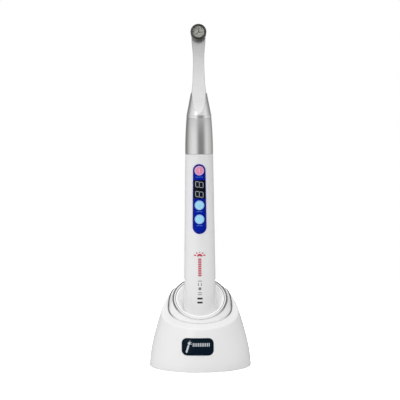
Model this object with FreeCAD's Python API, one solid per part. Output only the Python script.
import FreeCAD, Part
import math
import os
from FreeCAD import Vector

# Curing light standing in its charging base. Millimetres.
# +Z up, front towards -Y, handpiece axis on Z. Heights here are counted from a plane a little above
# the table; every part is lifted by -TABLE_Z at the end, so the finished origin is on the table.

# ---- driving dimensions: base ----
TABLE_Z = -1.7           # table under the feet
FOOT_R = 43.2            # largest radius of the base
SHELL_Z0 = TABLE_Z + 0.6  # lower edge of the base shell
SHELL_WALL = 2.6
MOUTH_TILT = 33.5        # slope of the mouth's lip, low at the front
MOUTH_Z = 56.3           # lip height on the axis
LIP_R = 23.1
LIP_INNER_R = 20.6
RING_CORE_R = 22.4
RING_SEAT_R = 22.5       # bore of the shell that takes the ring
RING_FOOT_R = 27.2
RING_FOOT_TILT = 23.0
RING_FOOT_Z = 48.2
RING_BOTTOM_Z = 33.0
LED_BOARD_Z = 30.8       # underside of the board that lights the ring
WELL_R = 14.3            # bore that holds the handpiece
WELL_FLOOR_Z = 24.6
WELL_FLOOR_T = 2.4
PLATE_T = 2.4
PLATE_TOP = SHELL_Z0 + PLATE_T
BOSS_CIRCLE_R = 36.0     # circle of the screw bosses under the dome
FOOT_CIRCLE_R = 31.0     # circle of the rubber feet
POST_CIRCLE_R = 10.5     # circle of the posts under the charge board
BOARD_TOP_Z = 13.6       # upper face of the charge board
SPRING_SEAT_Z = 14.6
PIN_SHOULDER_Z = 20.4
PIN_BARREL = 1.8         # height of the thick part of a contact pin
PIN_X = 4.0              # contact pins stand at +-PIN_X
INLET_Z = 9.2
INLET_Y0 = 29.0
INLET_Y1 = 41.2
INLET_BORE_Y = 32.5      # floor of the socket's bore
PIN_ROOT_R = 1.2         # the socket's pin is thicker where it is moulded in
BADGE_W = 26.4
BADGE_H = 13.9
BADGE_Z = 20.0
BADGE_X = -2.1

# ---- driving dimensions: handpiece ----
TAIL_Z = 24.7            # lowest point of the handpiece in its cradle
TUBE_Z0 = 31.0
TUBE_Z1 = 178.4
TUBE_TOP_R = 11.85
TUBE_TAPER = 0.014       # growth of the radius per mm downwards
TUBE_WALL = 1.5
COLLAR_Z1 = 208.7
COLLAR_MID_R = 11.58     # bell radius half way up
COLLAR_TOP_R = 10.66
COLLAR_BORE_R = 8.7
COLLAR_SPIGOT = 5.0      # length of the collar inside the tube
PANEL_Z0 = 111.5
PANEL_Z1 = 170.3
PANEL_LOW_R = 5.9        # half widths of the panel at its two round ends
PANEL_HIGH_R = 5.3
PANEL_PROUD = 0.15
PANEL_T = 0.6
BUTTON_R = 4.0
BUTTON_TRAVEL = 0.4
BUTTON_Z = {"power_button": 164.8, "mode_button": 135.7, "time_button": 123.9}
WINDOW_Z0 = 141.2
WINDOW_Z1 = 156.8
WINDOW_HALF_W = 5.05
DIGIT_Z = (152.4, 144.4)
BOARD_Y0 = -4.6          # front and back faces of the main board
BOARD_Y1 = -3.4
BOARD_Z0 = 103.5
BOARD_Z1 = 172.4
SWITCH_TOP_Y = -7.9
BRIDGE_Z = (106.5, 170.0)
BRIDGE_HALF = 2.2
BATTERY_R = 9.1
BATTERY_Z0 = 37.5
BATTERY_Z1 = 102.0
CHASSIS_R = 10.25
CHASSIS_Z0 = 35.5
CHASSIS_Z1 = 172.6

# ---- driving dimensions: head ----
CONE_Z0 = 208.8
CONE_KINK_Z = 211.4      # the cone starts above a short band
CONE_Z1 = 230.6
CONE_LOW_R = 10.64
CONE_KINK_R = 10.56
CONE_HIGH_R = 6.8
FACET_TIP_Z = 213.0
FACET_TIP_Y = -10.2
FACET_LEAN = 20.0        # lean of the flat front of the cone, from vertical
NECK_TOP_Z = 279.5
NECK_TOP_LEAN = 4.0      # the neck straightens up to this lean at its top
SPIGOT_R = 6.0
BUSH_R = 8.0
BUSH_Z0 = COLLAR_Z1 - 8.9
WASHER_R = 9.5
WASHER_DEPTH = 0.5       # depth of the washer's seat in the collar
CIRCLIP_Z = COLLAR_Z1 - 11.0
LAMP_Z = 282.4           # centre of the lamp's front rim
LAMP_Y = -1.4
LAMP_TILT = 8.0          # the lamp looks up by this angle
LAMP_R = 6.75
LAMP_DEPTH = 12.4
BEZEL_T = 2.0            # depth of the polished front ring
CAN_R = 6.55             # radius of the lamp's can behind the ring
POCKET_R = 5.7
POCKET_DEPTH = 10.8
LENS_R = 4.9
LENS_SEAT = 2.6          # depth of the lens flange behind the rim

CLEAR = 0.05             # radial running clearance of guided pieces


# ---- helpers ----
def cyl(r, z0, z1, x=0.0, y=0.0):
    return Part.makeCylinder(r, z1 - z0, Vector(x, y, z0))


def cyl_y(r, y0, y1, x, z):
    return Part.makeCylinder(r, y1 - y0, Vector(x, y0, z), Vector(0, 1, 0))


def tube(r_out, r_in, z0, z1, x=0.0, y=0.0):
    return cyl(r_out, z0, z1, x, y).cut(cyl(r_in, z0 - 1, z1 + 1, x, y))


def box(x0, x1, y0, y1, z0, z1):
    return Part.makeBox(x1 - x0, y1 - y0, z1 - z0, Vector(x0, y0, z0))


def cone(r0, r1, z0, z1):
    return Part.makeCone(r0, r1, z1 - z0, Vector(0, 0, z0))


def ring_of(count, radius, start=0.0):
    """Evenly spaced points on a circle about the Z axis."""
    angles = [math.radians(start + 360.0 * i / count) for i in range(count)]
    return [(radius * math.cos(a), radius * math.sin(a)) for a in angles]


def fuse_all(shapes):
    result = shapes[0]
    for shape in shapes[1:]:
        result = result.fuse(shape)
    return result.removeSplitter()


def cut_all(shape, tools):
    for tool in tools:
        shape = shape.cut(tool)
    return shape


def spline(points):
    curve = Part.BSplineCurve()
    curve.interpolate(points)
    return curve


def pipe(points, r, frenet=False):
    """Round cord along a smooth path. A path that only bends one way may use the plain Frenet frame."""
    path = Part.Wire(spline(points).toShape())
    start = points[0]
    direction = path.Edges[0].tangentAt(path.Edges[0].FirstParameter)
    profile = Part.Wire(Part.Circle(start, direction, r).toShape())
    return path.makePipeShell([profile], True, frenet)


def tilted_ellipse(r, z, tilt):
    """Closed curve round the Z axis: a circle of radius r seen from above, low at the front."""
    a = math.radians(tilt)
    far = Vector(0, r, z + r * math.tan(a))
    side = Vector(r, 0, z)
    return Part.Wire(Part.Ellipse(far, side, Vector(0, 0, z)).toShape())


def below_plane(z, tilt):
    """Everything under the sloping plane that crosses the axis at z."""
    size = 200.0
    slab = Part.makeBox(size, size, size, Vector(-size / 2, -size / 2, -size))
    slab.rotate(Vector(0, 0, 0), Vector(1, 0, 0), tilt)
    slab.translate(Vector(0, 0, z))
    return slab


# ---- base ----
BOSS_POINTS = ring_of(4, BOSS_CIRCLE_R, 45.0)
FOOT_POINTS = ring_of(4, FOOT_CIRCLE_R)
POST_POINTS = ring_of(4, POST_CIRCLE_R, 45.0)


def dome_profile(offset):
    """Solid of the dome's full outline, moved inwards by offset."""
    heights = (SHELL_Z0, 15.6, 30.9, 46.2, 56.4, 66.0, 76.0)
    radii = (FOOT_R, 41.3, 37.6, 33.0, 29.4, 25.4, 21.0)
    points = [Vector(r - offset, 0, z) for z, r in zip(heights, radii)]
    side = spline(points).toShape()
    top = points[-1]
    bottom = points[0]
    close = Part.makePolygon([top, Vector(0, 0, top.z), Vector(0, 0, bottom.z), bottom])
    wire = Part.Wire([side] + close.Edges)
    return Part.Face(wire).revolve(Vector(0, 0, 0), Vector(0, 0, 1), 360)


def under_scoop(drop):
    """Space under the hollow sweep that slopes from the front up to the rear of the mouth."""
    depths = (-60.0, -44.0, -26.6, -13.4, 0.0, 11.5, 24.0, 34.0)
    heights = (29.0, 32.0, 37.6, 42.3, 49.3, 61.4, 74.0, 82.0)
    side = -60.0
    points = [Vector(side, y, z - drop) for y, z in zip(depths, heights)]
    top = spline(points).toShape()
    first = points[0]
    last = points[-1]
    rear = [Vector(side, -side, last.z), Vector(side, -side, side)]
    corners = [last] + rear + [Vector(side, first.y, side), first]
    face = Part.Face(Part.Wire([top] + Part.makePolygon(corners).Edges))
    return face.extrude(Vector(-2 * side, 0, 0))


def dome_solid():
    solid = dome_profile(0.0).common(under_scoop(0.0))
    rim = [e for e in solid.Edges if e.BoundBox.ZMax > 60 and e.BoundBox.ZMin > 25]
    solid = solid.makeFillet(2.6, rim)
    foot = [e for e in solid.Edges if e.BoundBox.ZMax < SHELL_Z0 + 0.01 and e.Length > 100]
    return solid.makeFillet(0.8, foot)


def base_shell():
    hollow = dome_profile(SHELL_WALL).common(under_scoop(SHELL_WALL))
    outer = dome_solid()
    shell = outer.cut(hollow)
    bosses = [cyl(3.4, PLATE_TOP, 15.0, x, y) for x, y in BOSS_POINTS]
    shell = fuse_all([shell] + bosses).common(outer)
    seat = cyl(RING_SEAT_R, 20.0, 90.0)
    screw_holes = [cyl(1.45, TABLE_Z, 11.0, x, y) for x, y in BOSS_POINTS]
    inlet_hole = cyl_y(4.35, 30, 50, 0, INLET_Z)
    return cut_all(shell, [seat, inlet_hole, badge_block(0.05, 0.6)] + screw_holes)


def badge_block(gap, depth):
    """Rounded rectangle that follows the dome, from depth below its surface upwards."""
    w = BADGE_W / 2 + gap
    h = BADGE_H / 2 + gap
    block = box(BADGE_X - w, BADGE_X + w, -60, -20, BADGE_Z - h, BADGE_Z + h)
    upright = [e for e in block.Edges if abs(e.tangentAt(e.FirstParameter).y) > 0.99]
    block = block.makeFillet(4.3, upright)
    return block.cut(dome_profile(depth))


def front_badge():
    return badge_block(0.0, 0.6).common(dome_profile(-0.25))


def light_guide_ring():
    foot = tilted_ellipse(RING_FOOT_R, RING_FOOT_Z, RING_FOOT_TILT)
    lip = tilted_ellipse(LIP_R, MOUTH_Z, MOUTH_TILT)
    flare = Part.makeLoft([foot, lip], True, True)
    core = cyl(RING_CORE_R, RING_BOTTOM_Z, 90.0).common(below_plane(MOUTH_Z, MOUTH_TILT))
    ring = flare.fuse(core).cut(cyl(LIP_INNER_R, 0, 100))
    return ring.cut(dome_solid().cut(cyl(RING_SEAT_R, 20.0, 90.0)))


def cradle_cup():
    top = below_plane(MOUTH_Z - 0.35, MOUTH_TILT)
    body = cyl(LIP_INNER_R - 0.1, 36.0, 90.0).common(top)
    stem = cyl(17.0, WELL_FLOOR_Z - WELL_FLOOR_T, 37.0)
    cup = body.fuse(stem).removeSplitter()
    mouth_low = tilted_ellipse(WELL_R + 0.3, 45.6, 15.0)
    mouth_high = tilted_ellipse(LIP_INNER_R - 0.8, MOUTH_Z, MOUTH_TILT)
    funnel = Part.makeLoft([mouth_low, mouth_high], True, True)
    bore = cyl(WELL_R, WELL_FLOOR_Z, 60.0)
    pin_holes = [cyl(1.15, 20, 30, x, 0) for x in (-PIN_X, PIN_X)]
    return cut_all(cup, [funnel, bore] + pin_holes)


def led_ring_board():
    return tube(22.0, 17.4, LED_BOARD_Z, LED_BOARD_Z + 1.0)


def ring_leds():
    half = 0.9
    z0 = LED_BOARD_Z + 1.0
    points = ring_of(6, 21.0, 30.0)
    return Part.makeCompound([box(x - half, x + half, y - half, y + half, z0, z0 + 1.0) for x, y in points])


def base_plate():
    plate = cyl(39.9, SHELL_Z0, PLATE_TOP)
    posts = [cyl(2.2, PLATE_TOP, 12.0, x, y) for x, y in POST_POINTS]
    lip = tube(13.6, 12.9, PLATE_TOP, 5.0)
    plate = fuse_all([plate, lip] + posts)
    holes = [cyl(1.6, TABLE_Z, 5, x, y) for x, y in BOSS_POINTS]
    sinks = [cyl(2.8, TABLE_Z, SHELL_Z0 + 1.4, x, y) for x, y in BOSS_POINTS]
    foot_seats = [cyl(4.6, TABLE_Z, TABLE_Z + 1.3, x, y) for x, y in FOOT_POINTS]
    pilots = [cyl(0.95, 7.0, 20, x, y) for x, y in POST_POINTS]
    inlet_room = box(-5.2, 5.2, 28.5, 45, PLATE_TOP - 0.4, 20)
    return cut_all(plate, holes + sinks + foot_seats + pilots + [inlet_room])


def rubber_feet():
    return Part.makeCompound([cyl(4.5, TABLE_Z, TABLE_Z + 1.3, x, y) for x, y in FOOT_POINTS])


def cross_screw(x, y, head_r, head_z0, head_z1, shank_r, tip_z):
    """Screw with a cross recess; the shank leaves the head's inner side."""
    inner = head_z1 if tip_z > head_z1 else head_z0
    outer = head_z0 if tip_z > head_z1 else head_z1
    shank = cyl(shank_r, min(inner, tip_z), max(inner, tip_z), x, y)
    screw = cyl(head_r, head_z0, head_z1, x, y).fuse(shank).removeSplitter()
    slot = head_r * 0.62
    z0 = outer - 0.45
    z1 = outer + 0.45
    bar = box(x - slot, x + slot, y - 0.2, y + 0.2, z0, z1)
    other_bar = box(x - 0.2, x + 0.2, y - slot, y + slot, z0, z1)
    return cut_all(screw, [bar, other_bar])


def base_screws():
    z0 = SHELL_Z0 + 0.3
    z1 = SHELL_Z0 + 1.4
    return Part.makeCompound([cross_screw(x, y, 2.6, z0, z1, 1.4, 10.0) for x, y in BOSS_POINTS])


def ballast_weight():
    return tube(27.5, 14.0, PLATE_TOP, 8.0)


def charge_board():
    board = cyl(15.0, BOARD_TOP_Z - 1.6, BOARD_TOP_Z)
    return cut_all(board, [cyl(1.0, 10, 15, x, y) for x, y in POST_POINTS])


def board_screws():
    z0 = BOARD_TOP_Z
    z1 = BOARD_TOP_Z + 1.2
    return Part.makeCompound([cross_screw(x, y, 1.8, z0, z1, 0.9, 8.0) for x, y in POST_POINTS])


def contact_block():
    block = box(-7.0, 7.0, -4.2, 4.2, BOARD_TOP_Z, WELL_FLOOR_Z - WELL_FLOOR_T)
    return cut_all(block, [cyl(1.5 + CLEAR, SPRING_SEAT_Z, 30, x, 0) for x in (-PIN_X, PIN_X)])


def contact_pin(x):
    base = cyl(1.5, PIN_SHOULDER_Z - PIN_BARREL, PIN_SHOULDER_Z, x, 0)
    tip = cyl(1.05, PIN_SHOULDER_Z, WELL_FLOOR_Z + 0.1, x, 0)
    pin = base.fuse(tip).removeSplitter()
    crown = [e for e in pin.Edges if e.BoundBox.ZMin > WELL_FLOOR_Z]
    return pin.makeFillet(0.5, crown)


def contact_spring(x):
    """Coil under the contact pin at x."""
    wire_r = 0.16
    coil_r = 1.2
    pitch = 0.8
    z0 = SPRING_SEAT_Z + wire_r
    height = PIN_SHOULDER_Z - PIN_BARREL - SPRING_SEAT_Z - 2 * wire_r
    helix = Part.makeHelix(pitch, height, coil_r)
    profile = Part.Wire(Part.Circle(Vector(coil_r, 0, 0), Vector(0, 1, 0), wire_r).toShape())
    coil = Part.Wire(helix.Edges).makePipeShell([profile], True, True)
    coil.translate(Vector(x, 0, z0))
    return coil


def dc_inlet():
    body = box(-5.0, 5.0, INLET_Y0, 36.5, PLATE_TOP - 0.4, INLET_Z + 5.0)
    nose = cyl_y(4.2, 36.0, INLET_Y1, 0, INLET_Z)
    inlet = body.fuse(nose).removeSplitter()
    bore = cyl_y(2.8, INLET_BORE_Y, 50, 0, INLET_Z)
    pin_hole = cyl_y(PIN_ROOT_R, INLET_Y0 - 1, 40, 0, INLET_Z)
    return cut_all(inlet, [bore, pin_hole])


def inlet_pin():
    shoulder = INLET_BORE_Y + 0.2
    root = cyl_y(PIN_ROOT_R, INLET_Y0 - 0.8, shoulder, 0, INLET_Z)
    pin = root.fuse(cyl_y(1.0, shoulder, INLET_Y1 - 0.6, 0, INLET_Z)).removeSplitter()
    tip = [e for e in pin.Edges if e.BoundBox.YMin > INLET_Y1 - 1.0]
    return pin.makeFillet(0.3, tip)


def inlet_wires():
    wires = []
    for x in (-2.5, 2.5):
        start = Vector(x, INLET_Y0 - 0.2, 11.0)
        bend = [Vector(x, 24.0, 11.8), Vector(x * 1.4, 18.0, 14.2)]
        end = Vector(x * 1.6, 13.0, BOARD_TOP_Z + 0.75)
        wires.append(pipe([start] + bend + [end], 0.6))
    return Part.makeCompound(wires)


# ---- handpiece ----
def tube_r(z):
    return TUBE_TOP_R + (TUBE_Z1 - z) * TUBE_TAPER


def barrel(offset, z0, z1):
    """Solid that follows the barrel's taper, grown by offset."""
    return cone(tube_r(z0) + offset, tube_r(z1) + offset, z0, z1)


def barrel_skin(outer, inner, z0, z1):
    return barrel(outer, z0, z1).cut(barrel(inner, z0 - 1, z1 + 1))


def panel_prism(gap):
    """Tapered capsule outline of the panel, run through the front of the barrel."""
    r0 = PANEL_LOW_R + gap
    r1 = PANEL_HIGH_R + gap
    z0 = PANEL_Z0 + PANEL_LOW_R
    z1 = PANEL_Z1 - PANEL_HIGH_R
    lean = math.asin((r0 - r1) / (z1 - z0))
    low = (r0 * math.cos(lean), z0 + r0 * math.sin(lean))
    high = (r1 * math.cos(lean), z1 + r1 * math.sin(lean))
    y = -20.0
    right_low = Vector(low[0], y, low[1])
    right_high = Vector(high[0], y, high[1])
    left_high = Vector(-high[0], y, high[1])
    left_low = Vector(-low[0], y, low[1])
    top = Part.Arc(right_high, Vector(0, y, z1 + r1), left_high).toShape()
    bottom = Part.Arc(left_low, Vector(0, y, z0 - r0), right_low).toShape()
    right = Part.LineSegment(right_low, right_high).toShape()
    left = Part.LineSegment(left_high, left_low).toShape()
    wire = Part.Wire([right, top, left, bottom])
    return Part.Face(wire).extrude(Vector(0, 20, 0))


def front_hole(r, z):
    return cyl_y(r, -20, 0, 0, z)


def window_block(gap):
    return box(-WINDOW_HALF_W - gap, WINDOW_HALF_W + gap, -20, 0, WINDOW_Z0 - gap, WINDOW_Z1 + gap)


def body_tube():
    skin = barrel_skin(0.0, -TUBE_WALL, TUBE_Z0, TUBE_Z1)
    seat = barrel_skin(1.0, PANEL_PROUD - PANEL_T, PANEL_Z0 - 2, PANEL_Z1 + 2).common(panel_prism(0.06))
    holes = [front_hole(BUTTON_R + 0.2, z) for z in BUTTON_Z.values()]
    display_hole = box(-4.2, 4.2, -20, 0, WINDOW_Z0 + 0.9, WINDOW_Z1 - 0.9)
    return cut_all(skin, [seat, display_hole] + holes)


def keypad_panel():
    skin = barrel_skin(PANEL_PROUD, PANEL_PROUD - PANEL_T, PANEL_Z0 - 2, PANEL_Z1 + 2)
    panel = skin.common(panel_prism(0.0))
    holes = [front_hole(BUTTON_R + 0.08, z) for z in BUTTON_Z.values()]
    return cut_all(panel, [window_block(0.05)] + holes)


def panel_window():
    skin = barrel_skin(PANEL_PROUD - 0.03, PANEL_PROUD - PANEL_T, WINDOW_Z0 - 2, WINDOW_Z1 + 2)
    return skin.common(window_block(0.0))


def keypad_mat(z0, z1):
    """Soft sheet behind the panel between two heights, with a hole for each plunger."""
    skin = barrel_skin(-1.55, -2.25, z0, z1)
    mat = skin.common(panel_prism(-1.2))
    return cut_all(mat, [front_hole(1.5, z) for z in BUTTON_Z.values()])


def keypad_mat_upper():
    return keypad_mat(WINDOW_Z1 + 1.0, PANEL_Z1 - 2)


def keypad_mat_lower():
    return keypad_mat(PANEL_Z0 + 3, WINDOW_Z0 - 1.0)


def button(z):
    face = barrel(0.5, z - 6, z + 6).common(front_hole(BUTTON_R, z))
    cap = face.cut(barrel(-1.1, z - 7, z + 7))
    plunger = cyl_y(1.4, -tube_r(z) + 0.9, SWITCH_TOP_Y - BUTTON_TRAVEL - CLEAR, 0, z)
    return cap.fuse(plunger).removeSplitter()


def main_board():
    board = box(-8.9, 8.9, BOARD_Y0, BOARD_Y1, BOARD_Z0, BOARD_Z1)
    return cut_all(board, [cyl_y(1.1, -10, 0, 0, z) for z in BRIDGE_Z])


def tact_switches():
    bodies = []
    for z in BUTTON_Z.values():
        body = box(-3, 3, -7.2, BOARD_Y0, z - 3, z + 3)
        bodies.append(body.fuse(cyl_y(1.7, SWITCH_TOP_Y, -7.2, 0, z)).removeSplitter())
    return Part.makeCompound(bodies)


def display_module():
    return box(-4.0, 4.0, -8.6, BOARD_Y0, WINDOW_Z0 + 1.0, WINDOW_Z1 - 1.0)


def digit_segments(z):
    """Seven bars of a figure eight lying on its side."""
    y0 = -9.1
    y1 = -8.6
    half_w = 3.3
    half_h = 2.5
    thick = 0.42
    bars = []
    for x in (-half_w, 0.0, half_w):
        bars.append(box(x - thick / 2, x + thick / 2, y0, y1, z - half_h + 0.4, z + half_h - 0.4))
    for side in (-1, 1):
        for x0, x1 in ((-half_w + 0.35, -0.35), (0.35, half_w - 0.35)):
            centre = z + side * half_h
            bars.append(box(x0, x1, y0, y1, centre - thick / 2, centre + thick / 2))
    return bars


def display_digits():
    return Part.makeCompound(digit_segments(DIGIT_Z[0]) + digit_segments(DIGIT_Z[1]))


def chip(x, z, w, h):
    return box(x - w / 2, x + w / 2, BOARD_Y1, BOARD_Y1 + 1.2, z - h / 2, z + h / 2)


def board_components():
    power = [chip(-4.5, 113.0, 3.0, 4.0), chip(4.0, 113.0, 3.5, 3.0), chip(-4.0, 119.0, 2.0, 2.0)]
    logic = [chip(4.2, 150.0, 2.5, 4.0), chip(-3.5, 151.0, 4.0, 5.0)]
    return Part.makeCompound(power + logic)


def buzzer():
    return cyl_y(4.4, BOARD_Y1, BOARD_Y1 + 3.2, 0, 162.0)


def chassis():
    sleeve = tube(CHASSIS_R, BATTERY_R + 0.2, CHASSIS_Z0, CHASSIS_Z1)
    half = sleeve.common(box(-20, 20, BOARD_Y1, 20, 30, 180))
    bridges = [box(-9.0, 9.0, BOARD_Y1, -0.6, z - BRIDGE_HALF, z + BRIDGE_HALF) for z in BRIDGE_Z]
    bridges = [b.common(cyl(CHASSIS_R, 30, 180)) for b in bridges]
    frame = fuse_all([half] + bridges)
    return cut_all(frame, [cyl_y(0.95, -10, 0, 0, z) for z in BRIDGE_Z])


def chassis_screws():
    screws = []
    for z in BRIDGE_Z:
        head = cyl_y(1.8, BOARD_Y0 - 1.0, BOARD_Y0, 0, z)
        shank = cyl_y(0.9, BOARD_Y0, -0.8, 0, z)
        slot = box(-1.1, 1.1, BOARD_Y0 - 2.0, BOARD_Y0 - 0.6, z - 0.2, z + 0.2)
        screws.append(head.fuse(shank).removeSplitter().cut(slot))
    return Part.makeCompound(screws)


def battery_cell():
    can = cyl(BATTERY_R, BATTERY_Z0, BATTERY_Z1 - 1.0)
    can = can.makeFillet(0.6, [e for e in can.Edges if e.Length > 50])
    return can.fuse(cyl(3.0, BATTERY_Z1 - 1.2, BATTERY_Z1)).removeSplitter()


def battery_contacts():
    low = cyl(4.0, BATTERY_Z0 - 0.4, BATTERY_Z0)
    high = cyl(3.2, BATTERY_Z1, BATTERY_Z1 + 0.4)
    return Part.makeCompound([low, high])


def harness():
    wires = []
    for x in (-1.6, 1.6):
        from_cell = [Vector(x, 1.6, 102.9), Vector(x, 2.4, 112.0)]
        behind_board = [Vector(x, 3.2, 135.0), Vector(x, 3.4, 168.0)]
        in_collar = [Vector(x * 0.5, 1.0, 186.0), Vector(x * 0.5, 0, 193.0)]
        wires.append(pipe(from_cell + behind_board + in_collar, 0.6, True))
    return Part.makeCompound(wires)


def tail_cap():
    rim = barrel(0.0, TAIL_Z, TUBE_Z0)
    rim = rim.makeFillet(1.2, [e for e in rim.Edges if e.BoundBox.ZMax < TAIL_Z + 0.01])
    spigot = cyl(tube_r(TUBE_Z0) - TUBE_WALL - 0.1, TUBE_Z0, 35.0)
    cap = rim.fuse(spigot).removeSplitter()
    groove = tube(20, tube_r(TUBE_Z0) - TUBE_WALL - 1.0, 32.2, 33.8)
    pads = [cyl(2.6, 20, TAIL_Z + 1.2, x, 0) for x in (-PIN_X, PIN_X)]
    stems = [cyl(0.8, 20, 40, x, 0) for x in (-PIN_X, PIN_X)]
    pocket = cyl(8.0, 28.0, 40.0)
    return cut_all(cap, [groove, pocket] + pads + stems)


def tail_contacts():
    studs = []
    for x in (-PIN_X, PIN_X):
        pad = cyl(2.55, TAIL_Z + 0.1, TAIL_Z + 1.2, x, 0)
        studs.append(pad.fuse(cyl(0.75, TAIL_Z + 1.2, 30.0, x, 0)).removeSplitter())
    return Part.makeCompound(studs)


def tail_seal():
    return Part.makeTorus(tube_r(33.0) - TUBE_WALL - 0.52, 0.45, Vector(0, 0, 33.0))


def bell():
    """Outside of the collar: its side is an arc."""
    z0 = TUBE_Z1 + 0.1
    low = Vector(TUBE_TOP_R, 0, z0)
    middle = Vector(COLLAR_MID_R, 0, (z0 + COLLAR_Z1) / 2)
    high = Vector(COLLAR_TOP_R, 0, COLLAR_Z1)
    side = Part.Arc(low, middle, high).toShape()
    close = Part.makePolygon([high, Vector(0, 0, high.z), Vector(0, 0, low.z), low])
    solid = Part.Face(Part.Wire([side] + close.Edges)).revolve(Vector(0, 0, 0), Vector(0, 0, 1), 360)
    return solid.makeFillet(0.25, [e for e in solid.Edges if e.Length > 50])


def metal_collar():
    spigot_z = TUBE_Z1 - COLLAR_SPIGOT
    spigot = cyl(tube_r(TUBE_Z1) - TUBE_WALL - 0.1, spigot_z, TUBE_Z1 + 0.5)
    collar = bell().fuse(spigot).removeSplitter()
    hollow = cyl(COLLAR_BORE_R, 160, BUSH_Z0)
    bush_seat = cyl(BUSH_R, BUSH_Z0 - 1, 220)
    washer_seat = cyl(WASHER_R + 0.1, COLLAR_Z1 - WASHER_DEPTH, 220)
    groove = tube(20, tube_r(TUBE_Z1) - TUBE_WALL - 1.0, spigot_z + 1.4, spigot_z + 2.8)
    return cut_all(collar, [hollow, bush_seat, washer_seat, groove])


def collar_seal():
    z = TUBE_Z1 - COLLAR_SPIGOT + 2.1
    return Part.makeTorus(tube_r(z) - TUBE_WALL - 0.53, 0.42, Vector(0, 0, z))


def swivel_bush():
    sleeve = tube(BUSH_R, SPIGOT_R + CLEAR, BUSH_Z0 - 0.1, COLLAR_Z1 - WASHER_DEPTH)
    flange = tube(COLLAR_BORE_R - 0.05, SPIGOT_R + CLEAR, BUSH_Z0 - 1.2, BUSH_Z0)
    return sleeve.fuse(flange).removeSplitter()


def thrust_washer():
    return tube(WASHER_R, SPIGOT_R + CLEAR, COLLAR_Z1 - WASHER_DEPTH, CONE_Z0 - 0.03)


# ---- head ----
def facet_y(z):
    """Depth of the flat front of the cone and neck at height z."""
    low = min(z, CONE_Z1) - FACET_TIP_Z
    high = max(z, CONE_Z1) - CONE_Z1
    slope = math.tan(math.radians(FACET_LEAN))
    change = (math.tan(math.radians(NECK_TOP_LEAN)) - slope) / (NECK_TOP_Z - CONE_Z1)
    return FACET_TIP_Y + (low + high) * slope + change * high * high / 2


def neck_section(z, half_w, depth, flat_share):
    """Flat front and elliptical back; flat_share is the flat's width over the full width."""
    front = facet_y(z) + 0.02
    drop = math.sqrt(1.0 - flat_share ** 2)
    b = depth / (1.0 + drop)
    mid = front + b * drop
    flat = half_w * flat_share
    start = math.acos(flat_share)
    steps = 16
    angles = [-start + (math.pi + 2 * start) * i / steps for i in range(steps + 1)]
    back = spline([Vector(half_w * math.cos(a), mid + b * math.sin(a), z) for a in angles]).toShape()
    return Part.Wire([back, Part.LineSegment(Vector(-flat, front, z), Vector(flat, front, z)).toShape()])


def neck():
    sections = [
        (221.0, 6.8, 12.4, 0.70),
        (227.0, 6.5, 11.2, 0.86),
        (232.6, 6.0, 9.4, 0.94),
        (237.5, 5.45, 8.0, 0.95),
        (245.0, 5.05, 7.0, 0.95),
        (256.0, 4.75, 6.4, 0.95),
        (266.0, 5.1, 6.0, 0.95),
        (275.5, 5.9, 4.6, 0.95),
        (NECK_TOP_Z, 5.9, 3.2, 0.95),
    ]
    return Part.makeLoft([neck_section(*section) for section in sections], True, False)


def lamp_axis():
    a = math.radians(LAMP_TILT)
    return Vector(0, -math.cos(a), math.sin(a))


def lamp_point(distance):
    """Point on the lamp's axis, distance behind its front rim."""
    return Vector(0, LAMP_Y, LAMP_Z) - lamp_axis() * distance


def lamp_disc(r, near, far):
    """Disc coaxial with the lamp, between two distances behind the rim."""
    return Part.makeCylinder(r, far - near, lamp_point(near), lamp_axis() * -1)


def wire_path():
    """Curve of the cable through the spigot and the neck into the lamp."""
    depths = (0.0, 0.2, 2.0, 4.5, 6.9, 8.0, 8.3)
    heights = (203.0, 216.0, 232.0, 246.0, 258.0, 267.0, 275.5)
    return [Vector(0, y, z) for y, z in zip(depths, heights)]


def neck_casting():
    band = cone(CONE_LOW_R, CONE_KINK_R, CONE_Z0, CONE_KINK_Z)
    low = band.fuse(cone(CONE_KINK_R, CONE_HIGH_R, CONE_KINK_Z, CONE_Z1))
    kink = [e for e in low.Edges if abs(e.BoundBox.ZMin - CONE_KINK_Z) < 0.01 and e.Length > 50]
    low = low.makeFillet(3.0, kink)
    low = low.makeFillet(1.1, [e for e in low.Edges if e.BoundBox.ZMin > CONE_Z1 - 0.01])
    reach = 30.0
    rise = reach * math.tan(math.radians(FACET_LEAN))
    low_front = Vector(-reach, FACET_TIP_Y - rise, FACET_TIP_Z - reach)
    high_front = Vector(-reach, FACET_TIP_Y + rise, FACET_TIP_Z + reach)
    low_far = Vector(-reach, -2 * reach, low_front.z)
    high_far = Vector(-reach, -2 * reach, high_front.z)
    corners = [low_front, high_front, high_far, low_far, low_front]
    wedge = Part.Face(Part.makePolygon(corners)).extrude(Vector(2 * reach, 0, 0))
    low = low.cut(wedge)
    spigot = cyl(SPIGOT_R, CIRCLIP_Z - 1.5, CONE_Z0 + 1.0)
    casting = fuse_all([neck(), low, spigot])
    can_seat = lamp_disc(CAN_R + 0.02, -2.0, LAMP_DEPTH + 0.02)
    channel = pipe(wire_path(), 1.3)
    bore = cyl(3.0, 190, 206)
    groove = tube(7, 5.3, CIRCLIP_Z, CIRCLIP_Z + 0.7)
    return cut_all(casting, [can_seat, channel, bore, groove])


def lamp_can():
    can = lamp_disc(CAN_R, BEZEL_T + 0.02, LAMP_DEPTH)
    back = [e for e in can.Edges if e.BoundBox.YMin > LAMP_Y + 5 and e.Length > 20]
    can = can.makeFillet(2.0, back)
    pocket = lamp_disc(POCKET_R, 0, POCKET_DEPTH)
    return cut_all(can, [pocket, pipe(wire_path(), 1.3)])


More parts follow.
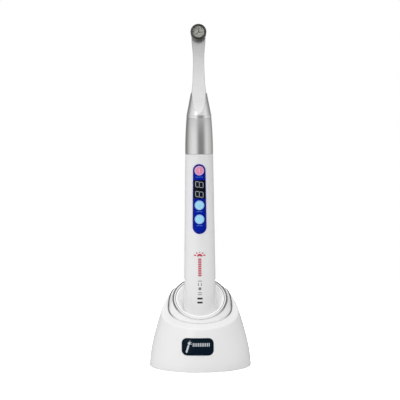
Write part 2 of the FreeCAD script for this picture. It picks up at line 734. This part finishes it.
def lens_bezel():
    rim = lamp_disc(LAMP_R, 0, BEZEL_T)
    front = [e for e in rim.Edges if e.BoundBox.Center.y < LAMP_Y + 0.1 and e.Length > 20 and e.Closed]
    rim = rim.makeFillet(1.0, front)
    sleeve = lamp_disc(POCKET_R - CLEAR, BEZEL_T, LENS_SEAT)
    bowl = Part.makeCone(LENS_R + 0.9, LENS_R, 0.7, lamp_point(0), lamp_axis() * -1)
    return cut_all(rim.fuse(sleeve).removeSplitter(), [lamp_disc(LENS_R, -1, 4), bowl])


def lens():
    glass = lamp_disc(LENS_R - CLEAR, 0.8, LENS_SEAT)
    return glass.fuse(lamp_disc(5.5, LENS_SEAT, LENS_SEAT + 0.8)).removeSplitter()


def reflector():
    front = LENS_SEAT + 0.8
    dish = lamp_disc(5.5, front, 6.4)
    bowl = Part.makeCone(4.6, 2.4, 3.0, lamp_point(front), lamp_axis() * -1)
    return dish.cut(bowl)


def led_board():
    return lamp_disc(5.5, 6.4, 7.4)


def led_dies():
    dies = []
    side = Vector(1, 0, 0)
    up = lamp_axis().cross(side)
    for x, z in ring_of(3, 1.3, 30.0):
        foot = lamp_point(6.4) + side * x + up * z
        dies.append(Part.makeCylinder(0.75, 0.6, foot, lamp_axis()))
    return Part.makeCompound(dies)


def heat_slug():
    return lamp_disc(5.5, 7.4, 9.3)


def swivel_circlip():
    ring = tube(6.9, 5.35, CIRCLIP_Z + CLEAR, CIRCLIP_Z + 0.7 - CLEAR)
    return ring.cut(box(-1.6, 1.6, 0, 10, CIRCLIP_Z - 5, CIRCLIP_Z + 5))


def head_wires():
    return pipe(wire_path(), 0.8)


PIECES = {
    "base_shell": base_shell,
    "light_guide_ring": light_guide_ring,
    "cradle_cup": cradle_cup,
    "front_badge": front_badge,
    "led_ring_board": led_ring_board,
    "ring_leds": ring_leds,
    "base_plate": base_plate,
    "rubber_feet": rubber_feet,
    "base_screws": base_screws,
    "ballast_weight": ballast_weight,
    "charge_board": charge_board,
    "board_screws": board_screws,
    "contact_block": contact_block,
    "contact_pin_left": lambda: contact_pin(-PIN_X),
    "contact_pin_right": lambda: contact_pin(PIN_X),
    "contact_spring_left": lambda: contact_spring(-PIN_X),
    "contact_spring_right": lambda: contact_spring(PIN_X),
    "dc_inlet": dc_inlet,
    "inlet_pin": inlet_pin,
    "inlet_wires": inlet_wires,
    "body_tube": body_tube,
    "keypad_panel": keypad_panel,
    "panel_window": panel_window,
    "keypad_mat_upper": keypad_mat_upper,
    "keypad_mat_lower": keypad_mat_lower,
    "main_board": main_board,
    "tact_switches": tact_switches,
    "display_module": display_module,
    "display_digits": display_digits,
    "board_components": board_components,
    "buzzer": buzzer,
    "chassis": chassis,
    "chassis_screws": chassis_screws,
    "battery_cell": battery_cell,
    "battery_contacts": battery_contacts,
    "harness": harness,
    "tail_cap": tail_cap,
    "tail_contacts": tail_contacts,
    "tail_seal": tail_seal,
    "metal_collar": metal_collar,
    "collar_seal": collar_seal,
    "swivel_bush": swivel_bush,
    "thrust_washer": thrust_washer,
    "power_button": lambda: button(BUTTON_Z["power_button"]),
    "mode_button": lambda: button(BUTTON_Z["mode_button"]),
    "time_button": lambda: button(BUTTON_Z["time_button"]),
    "neck_casting": neck_casting,
    "lamp_can": lamp_can,
    "lens_bezel": lens_bezel,
    "lens": lens,
    "reflector": reflector,
    "led_board": led_board,
    "led_dies": led_dies,
    "heat_slug": heat_slug,
    "swivel_circlip": swivel_circlip,
    "head_wires": head_wires,
}

os.makedirs("parts", exist_ok=True)
for node, make in PIECES.items():
    shape = make()
    shape.translate(Vector(0, 0, -TABLE_Z))
    if not shape.isValid():
        print("invalid shape:", node)
    if not shape.Solids:
        print("no solid:", node)
    print(node, len(shape.Solids), round(shape.Volume, 1))
    shape.exportStep("parts/%s.step" % node)
